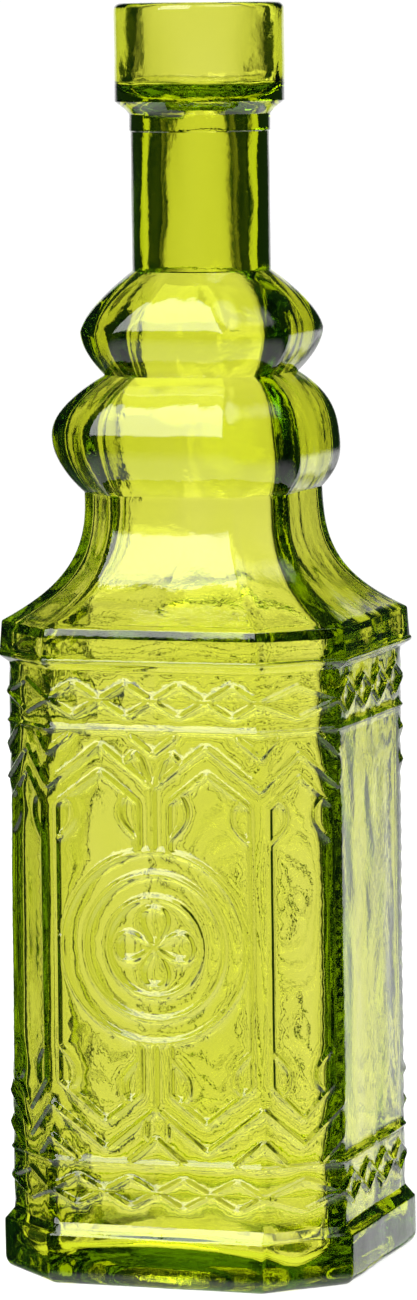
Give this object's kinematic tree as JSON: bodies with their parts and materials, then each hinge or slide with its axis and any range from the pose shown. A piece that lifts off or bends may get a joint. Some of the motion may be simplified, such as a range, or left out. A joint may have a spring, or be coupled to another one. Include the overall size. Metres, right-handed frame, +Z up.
{
  "type": "glass bottle",
  "caption": "Square clear green glass bottle with cut corners, a ringed shoulder, a narrow round neck and an open collared mouth, for a small amount of liquid or a stem.",
  "frame": {"origin": "centre of the flat ring that the bottle stands on, at its underside", "axes": "+Z up along the bottle's axis to the mouth; the medallion face looks towards -Y, its twin towards +Y, and the plain panels towards -X and +X"},
  "size_m": [0.0476, 0.0476, 0.165],
  "materials": {
    "green_glass": "clear, glossy, slightly wavy moulded glass"
  },
  "bodies": {
    "root": {"glass_bottle": "green_glass"}
  },
  "joints": []
}
